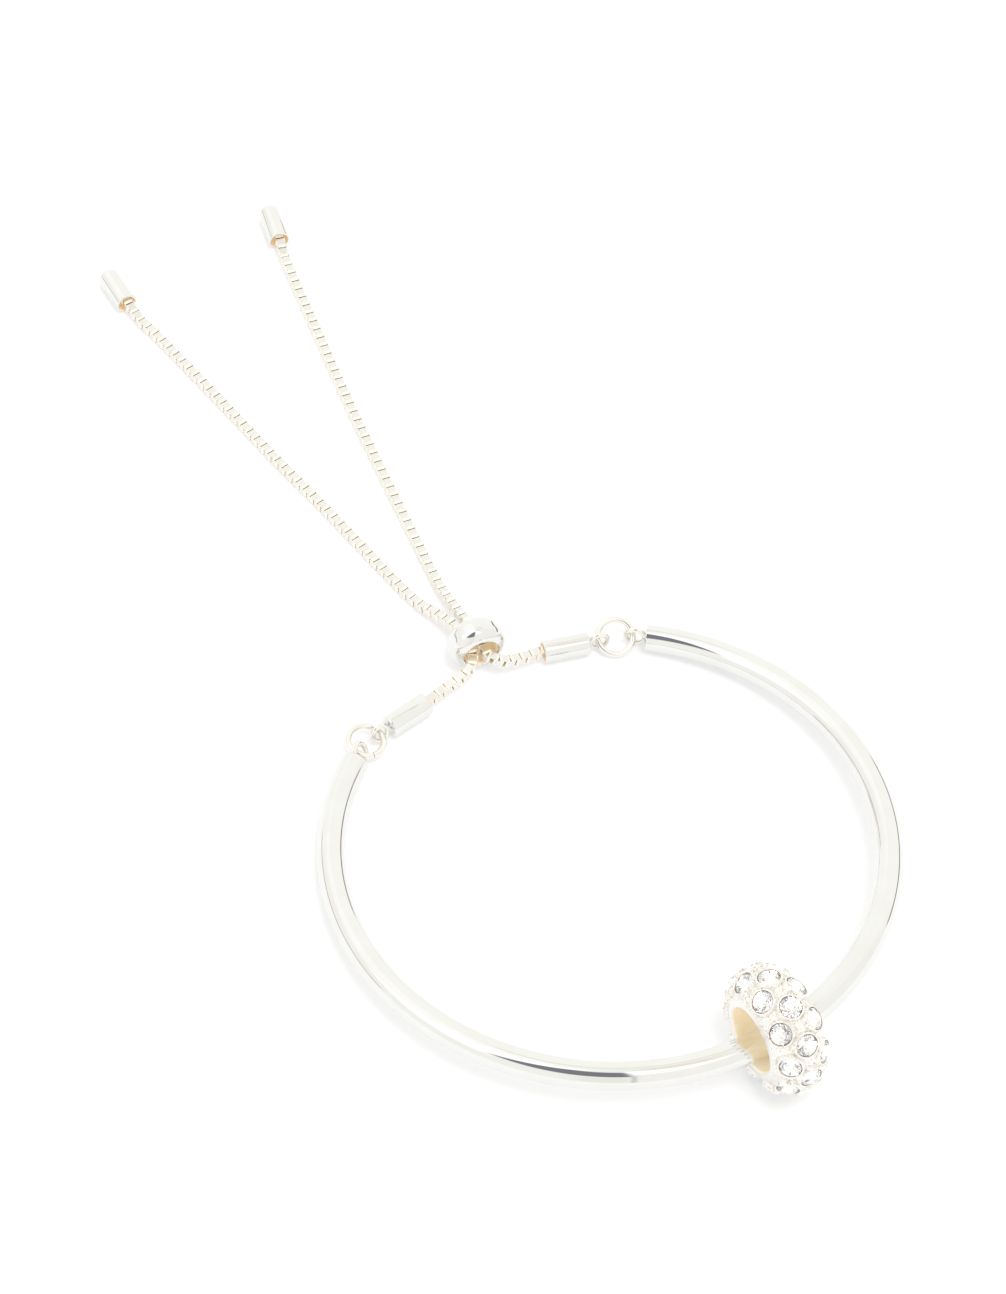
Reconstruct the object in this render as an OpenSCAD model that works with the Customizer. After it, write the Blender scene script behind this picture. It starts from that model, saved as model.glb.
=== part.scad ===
// Toggle bangle: an open tube closed by two box chains that run through a slider bead,
// with a stone set bead hanging on the tube. It lies on a table whose top is at z = 0,
// the hanging bead stands on the table and lifts that side of the tube.
// The origin is on the table under the centre of the tube's circle. Lengths are millimetres.

/* [Bangle] */
// Width of the bangle, across the middle of the tube
bangle_diameter = 57.9; // [57.6:0.1:58.2]
// Thickness of the tube
tube_diameter = 3; // [2.8:0.1:3.1]
// Bevel on the edge of the tube's flat ends
end_bevel = 0.15; // [0.05:0.05:0.3]
// Wire thickness of the eyes soldered on the tube's ends
eye_wire = 0.6; // [0.5:0.05:0.65]

/* [Jump rings] */
// Outer diameter of a jump ring
jump_ring_diameter = 4.55; // [4.5:0.05:4.6]
// Wire thickness of a jump ring
jump_ring_wire = 0.7; // [0.5:0.05:0.75]

/* [Chains] */
// Outer width of a square link
link_size = 1.14; // [1.08:0.02:1.16]
// Width of the strip that a link is bent from
link_width = 0.42; // [0.3:0.02:0.46]
// Thickness of that strip
link_thickness = 0.1; // [0.08:0.01:0.11]
// Distance from one link's middle to the next
link_pitch = 0.73; // [0.72:0.01:0.76]

/* [Chain ends and caps] */
// Outer diameter of the tubular chain ends
chain_end_diameter = 2.5; // [2.4:0.05:2.5]
// Length of a chain end without its loop
chain_end_length = 5.15; // [5:0.05:5.2]
// Outer diameter of the caps on the free ends
cap_diameter = 2.46; // [2.4:0.02:2.5]
// Length of a cap
cap_length = 5; // [4.5:0.1:6]
// Wall thickness of chain ends and caps
end_wall = 0.22; // [0.15:0.01:0.25]

/* [Slider bead] */
// Outer diameter of the slider bead
slider_diameter = 6.3; // [6.2:0.1:6.4]
// Width of the slider bead along its hole
slider_width = 3.4; // [3.2:0.1:3.5]
// Diameter of the slider bead's hole
slider_hole = 3.6; // [3.6:0.1:3.8]

/* [Stone set bead] */
// Diameter of the hole that the tube passes through
bead_hole = 7; // [6.9:0.1:7.1]
// Width of the bead along its hole
bead_width = 6; // [5.8:0.1:6.2]
// Girdle diameter of a stone
stone_diameter = 2.24; // [2:0.02:2.26]
// Diameter of the raised rim round a stone
stone_rim = 2.76; // [2.6:0.02:2.8]
// Table diameter of a stone
stone_table = 1.3; // [1:0.05:1.5]

/* [Hidden] */
silver = "#dcdacf";
clear_stone = "#eef3f6";

// The gap's middle points this way, and each end of the tube is gap_half away from it.
gap_azimuth = 122.4;
gap_half = 37.8;
ring_r = bangle_diameter / 2;
tube_r = tube_diameter / 2;
// The tube dips toward the gap, so that both its ends touch the table.
ring_tilt = 4.155;
ring_z = tube_r + ring_r * sin(ring_tilt) * cos(gap_half);

// An eye or a loop is soldered on by a neck that starts this deep in the metal, is this many
// wires wide and laps its ring this far.
neck_depth = 0.2;
neck_wires = 1.4;
neck_lap = 0.1;
eye_mean = 1.05;
eye_reach = 1.15;
loop_wire = 0.55;
loop_mean = 0.95;
loop_reach = 1.15;
// In each pair of values the first is for the left side and the second for the right.
// The eyes and the loops roll this far out of the level.
eye_roll = [60, 86];
loop_roll = [106, 87];
// Middle of each jump ring, the way its level axis points, its lean about that axis and the
// angle of its slit from the axis.
jump_place = [[-26.29, 12.56, 1.39], [-0.55, 28.67, 1.36]];
jump_azimuth = [84, 9];
jump_lean = [10, 26];
slit_angle = [214, 238];
jump_mean = (jump_ring_diameter - jump_ring_wire) / 2;
joint_slit = 0.05;

// A sleeve's mouth is eased this much inside and outside.
mouth_ease_inside = 0.05;
mouth_ease_outside = 0.06;
// Depth of the bores and roundness of the closed ends.
chain_end_bore = 2.4;
chain_end_round = 0.25;
cap_bore = 2.6;
cap_round = 0.7;

// Mouth of each chain end, x, y and z, and the way from the mouth to the loop.
left_end_mouth = [-20.28, 18.1, 1.27];
left_end_azimuth = 223;
right_end_mouth = [-8.22, 26.01, 1.27];
right_end_azimuth = 18.6;

// Mouth of each cap, x, y and z, and the way from the mouth to the closed end.
left_cap_mouth = [-57.74, 71.09, 1.25];
left_cap_azimuth = 123.1;
right_cap_mouth = [-41.36, 82.2, 1.25];
right_cap_azimuth = 110.3;

slider_place = [-15.45, 25.28];
slider_azimuth = 114.5;
// The slider bead's shoulders are this round, about points this far from its axis and from
// its middle.
slider_shoulder = 1.4;
slider_lip = 0.35;
shoulder_r = slider_diameter / 2 - slider_shoulder;
band_half = slider_width / 2 - slider_shoulder;

// Points that each chain passes through, x, y and height, from its fixed end to its cap.
left_route = [
    [-21.05, 17.4, 1.27], [-20.35, 18.1, 1.27], [-18.5, 19.8, 1.5], [-16.85, 21.15, 2],
    [-15.9, 22.3, 2.35], [-15.7, 23.5, 2.6], [-15.98, 24.6, 2.7], [-16.9, 26.5, 2.6],
    [-18.1, 28.2, 2.1], [-20.05, 30.1, 1.3], [-22.3, 32, 0.75], [-25.5, 35.4, 0.6],
    [-32.1, 42.9, 0.6], [-39, 50.4, 0.6], [-45.8, 58.1, 0.6], [-52.8, 65.9, 0.6],
    [-55.9, 69.1, 0.72], [-57.6, 71.2, 1.1], [-58.2, 72.1, 1.2]];
right_route = [
    [-7.28, 26.33, 1.27], [-8.48, 25.91, 1.27], [-10.25, 24.84, 1.52], [-12.06, 23.94, 1.93],
    [-13.22, 23.83, 2.28], [-14.05, 24.16, 2.49], [-14.74, 25.08, 2.74], [-15.26, 26.93, 2.8],
    [-16.95, 29.2, 2.05], [-18.5, 31.8, 1.3], [-20, 34.5, 0.75], [-22.3, 39.3, 0.6],
    [-26.9, 49, 0.6], [-31.5, 59, 0.6], [-36, 69.4, 0.6], [-40.2, 79.2, 0.68],
    [-41.2, 81.9, 1.1], [-41.6, 83, 1.2]];
link_corner = 0.26;
// Lines drawn between two points of a route, and how far to each side of a link its
// direction is taken.
route_steps = 12;
way_reach = 0.3;

// The bead hangs at this place on the tube, turned a little off the tube's own direction.
bead_azimuth = -53.2;
bead_path_r = 29;
bead_axis_azimuth = 32.8;
bead_hole_r = bead_hole / 2;
bead_half = bead_width / 2;
bead_lip = 0.3;
// The stones sit square to an arc round this radius of the bead.
seat_r = bead_hole_r - 0.1;
seat_reach = bead_half + 0.27;
rim_height = 0.06;
// The boss under a stone's rim starts this deep and is this much wider there.
boss_depth = 1;
boss_slant = 0.6;
row_tilt = 37;
row_turn = -2.9;
stones_in_row = 10;
crown_height = 0.3;
pavilion_depth = 0.62;
girdle_height = 0.06;
culet_width = 0.12;
// Thickness of the thin slices between which a stone is stretched.
slice = 0.01;
// Half the turn between two of the sixteen corners of a stone's girdle.
half_facet = 11.25;
// Each stone is turned this much further on its seat than the one before.
stone_turn = 17;
// A seat is straight down to its step and narrows from there to its foot.
seat_gap = 0.05;
seat_step = 0.1;
seat_depth = 0.82;
seat_foot_r = 0.3;
seat_room = 1;
// Cutting shapes lap the metal by a little and stand clear of it beyond.
cutter_lap = 0.05;
cutter_room = 0.4;
lip_room = 0.1;
// Height at which the lowest stone rim just meets the table.
bead_z = rim_drop(seat_reach + rim_height, stone_rim / 2, row_tilt, row_turn);

function stone_name(n) = str("stone_", n < 10 ? "0" : "", n);

function rim_drop(reach, rim_r, tilt, turn) =
    (seat_r + reach * cos(tilt)) * cos(turn)
    + rim_r * sqrt(1 - pow(cos(tilt) * cos(turn), 2));

// Picks the value for one side of the bangle, side is 1 for the left and -1 for the right.
function on_side(pair, side) = pair[side > 0 ? 0 : 1];

function curve_point(a, b, c, d, t) =
    0.5 * (2 * b + (c - a) * t + (2 * a - 5 * b + 4 * c - d) * t * t
    + (3 * b - a - 3 * c + d) * t * t * t);

// Smooth line through the points of a route.
function smooth_path(p, steps) =
    let (last = len(p) - 1)
    concat(
        [for (i = [0:last - 1], k = [0:steps - 1])
            curve_point(p[max(i - 1, 0)], p[i], p[i + 1], p[min(i + 2, last)], k / steps)],
        [p[last]]);

// Length of the line up to each of its points.
function running_length(p) =
    [for (i = 0, s = 0; i < len(p);
        s = s + (i + 1 < len(p) ? norm(p[i + 1] - p[i]) : 0), i = i + 1) s];

function path_table(p, run, axis) = [for (i = [0:len(p) - 1]) [run[i], p[i][axis]]];

// Points of an arc, for small rounded edges.
function arc(c, r, from, to, n) =
    [for (k = [0:n]) let (a = from + (to - from) * k / n) c + r * [cos(a), sin(a)]];

module on_ring()
    translate([0, 0, ring_z])
        rotate([0, 0, gap_azimuth])
            rotate([0, ring_tilt, 0])
                children();

// Puts its children on one end of the tube, with +X pointing out of the end.
module on_tube_end(side)
    on_ring()
        rotate([0, 0, side * gap_half])
            translate([ring_r, 0, 0])
                rotate([0, 0, -side * 90])
                    children();

module wire_ring(mean_r, wire)
    rotate_extrude($fn = 96)
        translate([mean_r, 0])
            circle(d = wire, $fn = 32);

// Small ring soldered by a short neck on a flat end at x = 0.
module soldered_loop(mean_r, wire, reach, roll) {
    translate([-neck_depth, 0, 0])
        rotate([0, 90, 0])
            cylinder(d = neck_wires * wire, h = neck_depth + reach - mean_r + neck_lap, $fn = 48);
    translate([reach, 0, 0])
        rotate([roll, 0, 0])
            wire_ring(mean_r, wire);
}

module bevel_cutter()
    rotate([0, 90, 0])
        rotate_extrude($fn = 96)
            polygon([[tube_r - end_bevel - cutter_lap, cutter_lap], [tube_r + cutter_room, cutter_lap],
                [tube_r + cutter_room, -end_bevel - cutter_room]]);

module bangle()
    color(silver) {
        difference() {
            on_ring()
                rotate([0, 0, gap_half])
                    rotate_extrude(angle = 360 - 2 * gap_half, $fn = 256)
                        translate([ring_r, 0])
                            circle(r = tube_r, $fn = 64);
            for (side = [-1, 1])
                on_tube_end(side)
                    bevel_cutter();
        }
        for (side = [-1, 1])
            on_tube_end(side)
                soldered_loop(eye_mean, eye_wire, eye_reach, on_side(eye_roll, side));
    }

// Round wire ring with the slit where its ends meet.
module jump_ring(side)
    color(silver)
        translate(on_side(jump_place, side))
            rotate([0, 0, on_side(jump_azimuth, side)])
                rotate([on_side(jump_lean, side), 0, 0])
                    difference() {
                        wire_ring(jump_mean, jump_ring_wire);
                        rotate([0, 0, on_side(slit_angle, side)])
                            translate([jump_mean, 0, 0])
                                cube([2 * jump_ring_wire, joint_slit, 2 * jump_ring_wire], center = true);
                    }

// Half section of a tube closed at its far end, x is the radius and y runs from the mouth.
module sleeve_section(outer_r, length, bore_depth, round_r)
    polygon(concat(
        [[0, bore_depth], [outer_r - end_wall, bore_depth], [outer_r - end_wall, mouth_ease_inside],
         [outer_r - end_wall + mouth_ease_inside, 0], [outer_r - mouth_ease_outside, 0],
         [outer_r, mouth_ease_outside]],
        arc([outer_r - round_r, length - round_r], round_r, 0, 90, 8),
        [[0, length]]));

module sleeve(outer_r, length, bore_depth, round_r)
    rotate([0, 90, 0])
        rotate_extrude($fn = 96)
            sleeve_section(outer_r, length, bore_depth, round_r);

module chain_end(side)
    color(silver)
        translate(on_side([left_end_mouth, right_end_mouth], side))
            rotate([0, 0, on_side([left_end_azimuth, right_end_azimuth], side)]) {
                sleeve(chain_end_diameter / 2, chain_end_length, chain_end_bore, chain_end_round);
                translate([chain_end_length, 0, 0])
                    soldered_loop(loop_mean, loop_wire, loop_reach, on_side(loop_roll, side));
            }

module end_cap(mouth, azimuth)
    color(silver)
        translate(mouth)
            rotate([0, 0, azimuth])
                sleeve(cap_diameter / 2, cap_length, cap_bore, cap_round);

// Square outline with cut corners.
module link_outline(size, corner) {
    h = size / 2;
    c = h - corner;
    polygon([[h, c], [c, h], [-c, h], [-h, c], [-h, -c], [-c, -h], [c, -h], [h, -c]]);
}

// One link: a strip bent into a square, lying in the XY plane.
module link() {
    inner = link_size - 2 * link_thickness;
    linear_extrude(link_width, center = true)
        difference() {
            link_outline(link_size, link_corner);
            link_outline(inner, link_corner - link_thickness * (2 - sqrt(2)));
        }
}

// Box chain: links along the route, each turned a quarter round from the one before.
module chain(route)
    color(silver) {
        path = smooth_path(route, route_steps);
        run = running_length(path);
        total = run[len(run) - 1];
        xs = path_table(path, run, 0);
        ys = path_table(path, run, 1);
        zs = path_table(path, run, 2);
        for (n = [0:floor(total / link_pitch)]) {
            s = n * link_pitch;
            here = [lookup(s, xs), lookup(s, ys), lookup(s, zs)];
            back = max(s - way_reach, 0);
            ahead = min(s + way_reach, total);
            way = [lookup(ahead, xs) - lookup(back, xs), lookup(ahead, ys) - lookup(back, ys),
                lookup(ahead, zs) - lookup(back, zs)];
            translate(here)
                rotate([0, -asin(way.z / norm(way)), atan2(way.y, way.x)])
                    rotate([90 * (n % 2), 0, 0])
                        link();
        }
    }

// Removes the sharp edge of a hole's mouth, at height h on a hole of radius r.
module lip_cutter(r, h, lip)
    for (m = [0, 1])
        mirror([0, m])
            polygon(concat([[r - lip_room, h - lip]],
                arc([r + lip, h - lip], lip, 180, 90, 6),
                [[r + lip, h + lip_room], [r - lip_room, h + lip_room]]));

// Barrel with a straight band between two round shoulders.
module slider_bead()
    color(silver)
        translate([slider_place.x, slider_place.y, slider_diameter / 2])
            rotate([0, 90, slider_azimuth])
                rotate_extrude($fn = 128)
                    difference() {
                        intersection() {
                            union() {
                                for (m = [-1, 1])
                                    translate([shoulder_r, m * band_half])
                                        circle(r = slider_shoulder, $fn = 96);
                                translate([shoulder_r, -band_half])
                                    square([slider_shoulder, 2 * band_half]);
                            }
                            translate([slider_hole / 2, -slider_width / 2])
                                square([slider_diameter, slider_width]);
                        }
                        lip_cutter(slider_hole / 2, slider_width / 2, slider_lip);
                    }

// Puts its children on the hanging bead, whose hole runs along +X from its front to its back.
module on_bead()
    translate([bead_path_r * cos(bead_azimuth), bead_path_r * sin(bead_azimuth), bead_z])
        rotate([0, 0, bead_axis_azimuth])
            children();

// Puts its children at the girdle of a stone, with +Z out of the bead. The front row holds
// stones 1 to 10, the middle row 11 to 20 and the back row 21 to 30.
module on_seat(n) {
    row = floor((n - 1) / stones_in_row);
    step = 360 / stones_in_row;
    rotate([row_turn + step * ((n - 1) % stones_in_row + (row == 1 ? 0.5 : 0)), 0, 0])
        translate([0, 0, seat_r])
            rotate([0, (row - 1) * row_tilt, 0])
                translate([0, 0, seat_reach])
                    children();
}

// Room for a stone: straight at the girdle, then narrowing under the stone.
module seat_cut() {
    r = stone_diameter / 2 + seat_gap;
    translate([0, 0, -seat_step])
        cylinder(r = r, h = seat_room, $fn = 48);
    translate([0, 0, -seat_depth])
        cylinder(r1 = seat_foot_r, r2 = r, h = seat_depth - seat_step, $fn = 48);
}

module charm_bead()
    color(silver)
        on_bead()
            difference() {
                union() {
                    rotate([0, 90, 0])
                        rotate_extrude($fn = 128)
                            difference() {
                                intersection() {
                                    translate([bead_hole_r, 0])
                                        circle(r = bead_half, $fn = 128);
                                    translate([bead_hole_r, -bead_half])
                                        square([bead_width, bead_width]);
                                }
                                lip_cutter(bead_hole_r, bead_half, bead_lip);
                            }
                    for (n = [1:3 * stones_in_row])
                        on_seat(n)
                            translate([0, 0, -boss_depth])
                                cylinder(d1 = stone_rim + boss_slant, d2 = stone_rim, h = boss_depth + rim_height, $fn = 48);
                }
                for (n = [1:3 * stones_in_row])
                    on_seat(n)
                        seat_cut();
            }

// Round cut stone: eight sided table, sixteen sided girdle, pointed below.
module stone(n)
    color(clear_stone)
        on_bead()
            on_seat(n)
                rotate([0, 0, stone_turn * n])
                    hull() {
                        translate([0, 0, crown_height - slice])
                            linear_extrude(slice)
                                rotate(half_facet)
                                    circle(d = stone_table, $fn = 8);
                        translate([0, 0, -girdle_height / 2])
                            linear_extrude(girdle_height)
                                circle(d = stone_diameter, $fn = 16);
                        translate([0, 0, -pavilion_depth])
                            linear_extrude(slice)
                                rotate(half_facet)
                                    circle(d = culet_width, $fn = 8);
                    }

module jump_ring_left() jump_ring(1);
module jump_ring_right() jump_ring(-1);
module chain_end_left() chain_end(1);
module chain_end_right() chain_end(-1);
module chain_left() chain(left_route);
module chain_right() chain(right_route);
module end_cap_left() end_cap(left_cap_mouth, left_cap_azimuth);
module end_cap_right() end_cap(right_cap_mouth, right_cap_azimuth);

bangle();
jump_ring_left();
jump_ring_right();
chain_end_left();
chain_end_right();
chain_left();
chain_right();
slider_bead();
end_cap_left();
end_cap_right();
charm_bead();
for (n = [1:30])
    stone(n);
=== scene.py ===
"""Looks of the toggle bangle: an open silver tube, two box chains run through a slider bead,
and a stone set bead on the tube. Everything is in metres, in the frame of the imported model."""
import math

import bmesh
import bpy
from mathutils import Matrix, Vector


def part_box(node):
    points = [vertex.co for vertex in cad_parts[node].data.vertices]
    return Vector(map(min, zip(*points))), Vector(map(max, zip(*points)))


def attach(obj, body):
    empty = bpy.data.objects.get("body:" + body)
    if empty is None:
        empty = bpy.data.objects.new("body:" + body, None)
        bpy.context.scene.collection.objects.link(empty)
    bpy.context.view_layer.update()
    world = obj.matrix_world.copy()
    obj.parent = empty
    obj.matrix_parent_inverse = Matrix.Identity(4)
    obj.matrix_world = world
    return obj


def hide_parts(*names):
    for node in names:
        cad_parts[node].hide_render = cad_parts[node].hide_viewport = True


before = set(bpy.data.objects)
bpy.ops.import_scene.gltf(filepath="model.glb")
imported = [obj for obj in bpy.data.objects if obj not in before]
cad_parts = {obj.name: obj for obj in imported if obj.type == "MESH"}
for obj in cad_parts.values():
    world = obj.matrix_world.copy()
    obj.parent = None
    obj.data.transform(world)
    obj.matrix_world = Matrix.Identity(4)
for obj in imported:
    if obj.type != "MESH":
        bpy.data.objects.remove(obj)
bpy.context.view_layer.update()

MM = 0.001

# Bangle, as in the part's source
RING_R = 28.95 * MM
TUBE_R = 1.5 * MM
END_BEVEL = 0.15 * MM
GAP_AZIMUTH = 122.4
GAP_HALF = 37.8
RING_TILT = 4.155
RING_Z = TUBE_R + RING_R * math.sin(math.radians(RING_TILT)) * math.cos(math.radians(GAP_HALF))
LEFT = 1
RIGHT = -1

# Eyes on the tube's ends, loops on the chain ends, and the rings that join them
EYE_WIRE = 0.6 * MM
EYE_MEAN = 1.05 * MM
EYE_REACH = 1.15 * MM
LOOP_WIRE = 0.55 * MM
LOOP_MEAN = 0.95 * MM
LOOP_REACH = 1.15 * MM
EYE_ROLL = {LEFT: 60, RIGHT: 86}
LOOP_ROLL = {LEFT: 106, RIGHT: 87}
JUMP_WIRE = 0.7 * MM
JUMP_MEAN = 1.925 * MM
JUMP_PLACE = {LEFT: (-0.02629, 0.01256, 0.00139), RIGHT: (-0.00055, 0.02867, 0.00136)}
JUMP_AZIMUTH = {LEFT: 84, RIGHT: 9}
JUMP_LEAN = {LEFT: 10, RIGHT: 26}
JOINT_SLIT = 0.05 * MM
SLIT_ANGLE = {LEFT: 214, RIGHT: 238}

# Solder neck of an eye or loop: its radius in wire diameters, its waist, flare and foot in
# its own radii, and how far it sinks into the flat end and into the ring
NECK_SHARE = 0.7
NECK_WAIST = 0.8
NECK_FLARE = 0.75
NECK_FOOT = 1.3
NECK_SINK = 0.2 * MM
NECK_LAP = 0.1 * MM
NECK_SIDES = 32

# Chain ends and caps. Their bores are gold from the inner part of the lip inwards, with a glow of painted
# light.
CHAIN_END_R = 1.25 * MM
CHAIN_END_LENGTH = 5.15 * MM
CHAIN_END_BORE = 2.4 * MM
CHAIN_END_ROUND = 0.25 * MM
CAP_R = 1.23 * MM
CAP_LENGTH = 5 * MM
CAP_BORE = 2.6 * MM
CAP_ROUND = 0.7 * MM
END_WALL = 0.22 * MM
SILVER_LIP = 0.6 * END_WALL
GOLD_DEPTH = 3 * MM
SLEEVE_SIDES = 96
END_MOUTH = {LEFT: Vector((-0.02028, 0.0181, 0.00127)), RIGHT: Vector((-0.00822, 0.02601, 0.00127))}
END_AZIMUTH = {LEFT: 223, RIGHT: 18.6}
CAP_MOUTH = {LEFT: Vector((-0.05774, 0.07109, 0.00125)), RIGHT: Vector((-0.04136, 0.0822, 0.00125))}
CAP_AZIMUTH = {LEFT: 123.1, RIGHT: 110.3}

# Slider bead. Faces within the margin of its hole's wall are gold with a glow of painted light, as in the
# stone set bead.
SLIDER_R = 3.15 * MM
SLIDER_HALF = 1.7 * MM
SLIDER_HOLE = 1.8 * MM
SLIDER_SHOULDER = 1.4 * MM
SLIDER_LIP = 0.35 * MM
SLIDER_EDGE_ANGLE = 11
SLIDER_LIP_ANGLE = 25
SLIDER_HOLE_MARGIN = 0.1 * MM
SLIDER_AZIMUTH = 114.5
SLIDER_SIDES = 192

# Box chains: the real links sit closer than the loose solids of the CAD model, on the same
# line. A link's cut corners shorten its sides by CORNER_SLOPE of the depth into the strip.
LINK_SIZE = 1.14 * MM
LINK_WIDTH = 0.88 * MM
LINK_THICKNESS = 0.1 * MM
LINK_CORNER = 0.2 * MM
LINK_EDGE = 0.05 * MM
LINK_PITCH = 0.632 * MM
CORNER_SLOPE = 0.414
ROUTE_STEPS = 12
ROUTE = {
    LEFT: [
        (-0.02105, 0.0174, 0.00127), (-0.02035, 0.0181, 0.00127), (-0.0185, 0.0198, 0.0015),
        (-0.01685, 0.02115, 0.002), (-0.0159, 0.0223, 0.00235), (-0.0157, 0.0235, 0.0026),
        (-0.01598, 0.0246, 0.0027), (-0.0169, 0.0265, 0.0026), (-0.0181, 0.0282, 0.0021),
        (-0.02005, 0.0301, 0.0013), (-0.0223, 0.032, 0.00075), (-0.0255, 0.0354, 0.0006),
        (-0.0321, 0.0429, 0.0006), (-0.039, 0.0504, 0.0006), (-0.0458, 0.0581, 0.0006),
        (-0.0528, 0.0659, 0.0006), (-0.0559, 0.0691, 0.00072), (-0.0576, 0.0712, 0.0011),
        (-0.0582, 0.0721, 0.0012)],
    RIGHT: [
        (-0.00728, 0.02633, 0.00127), (-0.00848, 0.02591, 0.00127), (-0.01025, 0.02484, 0.00152),
        (-0.01206, 0.02394, 0.00193), (-0.01322, 0.02383, 0.00228), (-0.01405, 0.02416, 0.00249),
        (-0.01474, 0.02508, 0.00274), (-0.01526, 0.02693, 0.0028), (-0.01695, 0.0292, 0.00205),
        (-0.0185, 0.0318, 0.0013), (-0.02, 0.0345, 0.00075), (-0.0223, 0.0393, 0.0006),
        (-0.0269, 0.049, 0.0006), (-0.0315, 0.059, 0.0006), (-0.036, 0.0694, 0.0006),
        (-0.0402, 0.0792, 0.00068), (-0.0412, 0.0819, 0.0011), (-0.0416, 0.083, 0.0012)],
}

# Stone set bead
BEAD_AZIMUTH = -53.2
BEAD_PATH_R = 29 * MM
BEAD_AXIS_AZIMUTH = 32.8
BEAD_HOLE_R = 3.5 * MM
BEAD_HALF = 3 * MM
BEAD_LIP = 0.3 * MM
BEAD_LIP_ANGLE = 10
BEAD_MOUTH_WIDTH = 0.75 * MM
BEAD_HOLE_MARGIN = 0.12 * MM
BEAD_SIDES = 288

# Rows of seats round the bead, and the raised rim of each seat
STONE_ROWS = 3
STONES_IN_ROW = 10
ROW_TILT = 37
ROW_TURN = -2.9
SEAT_R = 3.4 * MM
SEAT_REACH = 3.27 * MM
RIM_R = 1.38 * MM
RIM_SLANT = 0.3 * MM
RIM_HEIGHT = 0.06 * MM
RIM_FOOT = 1 * MM
RIM_EDGE = 0.09 * MM

# Stones, and the seats cut for them. The kites below end at KEEL_SHARE of the radius, the stars
# on top STAR_EASE beyond the crown's middle, and each stone is turned STONE_SPIN further.
STONE_R = 1.12 * MM
TABLE_R = 0.65 * MM
CROWN_HEIGHT = 0.3 * MM
PAVILION_DEPTH = 0.62 * MM
GIRDLE_HALF = 0.03 * MM
KEEL_SHARE = 0.42
STAR_EASE = 0.02 * MM
STONE_SPIN = 17
SEAT_ROUND_SIDES = 64
SEAT_GAP = 0.05 * MM
SEAT_DEPTH = 0.82 * MM
SEAT_FOOT_R = 0.3 * MM
SEAT_SHOULDER = 0.1 * MM
SEAT_LIP = 0.03 * MM
CUTTER_TOP = 0.5 * MM
CUTTER_FLARE = 0.3 * MM

# Camera, worked out from the photograph
CAMERA_DISTANCE = 0.5
CAMERA_ELEVATION = 53.108
CAMERA_ROLL = 3.987
CAMERA_LENS = 128.98
SENSOR_HEIGHT = 36
CAMERA_TARGET = Vector((-0.012535, 0.027253, 0))


def turn(axis, degrees):
    return Matrix.Rotation(math.radians(degrees), 4, axis)


def shift(x, y=0, z=0):
    return Matrix.Translation((x, y, z))


def on_ring():
    """The plane of the tube's circle, with +X to the middle of its gap."""
    return shift(0, 0, RING_Z) @ turn("Z", GAP_AZIMUTH) @ turn("Y", RING_TILT)


def on_tube_end(side):
    """One end of the tube, with +X pointing out of it."""
    return on_ring() @ turn("Z", side * GAP_HALF) @ shift(RING_R) @ turn("Z", -side * 90)


def on_chain_end(side):
    """The mouth of a chain end, with +X towards its loop."""
    return Matrix.Translation(END_MOUTH[side]) @ turn("Z", END_AZIMUTH[side])


def on_jump_ring(side):
    """The middle of the ring that joins an eye and a loop, leaning about its level axis."""
    return Matrix.Translation(JUMP_PLACE[side]) @ turn("Z", JUMP_AZIMUTH[side]) @ turn("X", JUMP_LEAN[side])


def on_bead():
    """The middle of the stone set bead, with +X along its hole."""
    azimuth = math.radians(BEAD_AZIMUTH)
    place = (BEAD_PATH_R * math.cos(azimuth), BEAD_PATH_R * math.sin(azimuth), rim_drop())
    return Matrix.Translation(place) @ turn("Z", BEAD_AXIS_AZIMUTH)


def rim_drop():
    """Height of the bead's middle, where its lowest stone rim meets the table."""
    tilt = math.cos(math.radians(ROW_TILT))
    turned = math.cos(math.radians(ROW_TURN))
    lean = math.sqrt(1 - (tilt * turned) ** 2)
    return (SEAT_R + (SEAT_REACH + RIM_HEIGHT) * tilt) * turned + RIM_R * lean


# Node trees

def add_node(tree, kind, values=None, **settings):
    """Adds a node. values sets its inputs by name or number, each to a plain value or a socket."""
    made = tree.nodes.new(kind)
    for name, setting in settings.items():
        setattr(made, name, setting)
    for key, value in (values or {}).items():
        feed(tree, made.inputs[key], value)
    return made


def feed(tree, socket, value):
    if isinstance(value, bpy.types.NodeSocket):
        tree.links.new(value, socket)
    else:
        socket.default_value = value


def calc(tree, operation, first, second=0.0):
    """Output of a Math node."""
    return add_node(tree, "ShaderNodeMath", {0: first, 1: second}, operation=operation).outputs[0]


def calc_vector(tree, operation, first, second=(0, 0, 0)):
    """The vector that a Vector Math node gives."""
    return add_node(tree, "ShaderNodeVectorMath", {0: first, 1: second}, operation=operation).outputs[0]


def dot(tree, first, second):
    node = add_node(tree, "ShaderNodeVectorMath", {0: first, 1: second}, operation="DOT_PRODUCT")
    return node.outputs["Value"]


def vector(tree, x=0.0, y=0.0, z=0.0):
    return add_node(tree, "ShaderNodeCombineXYZ", {0: x, 1: y, 2: z}).outputs[0]


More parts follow.
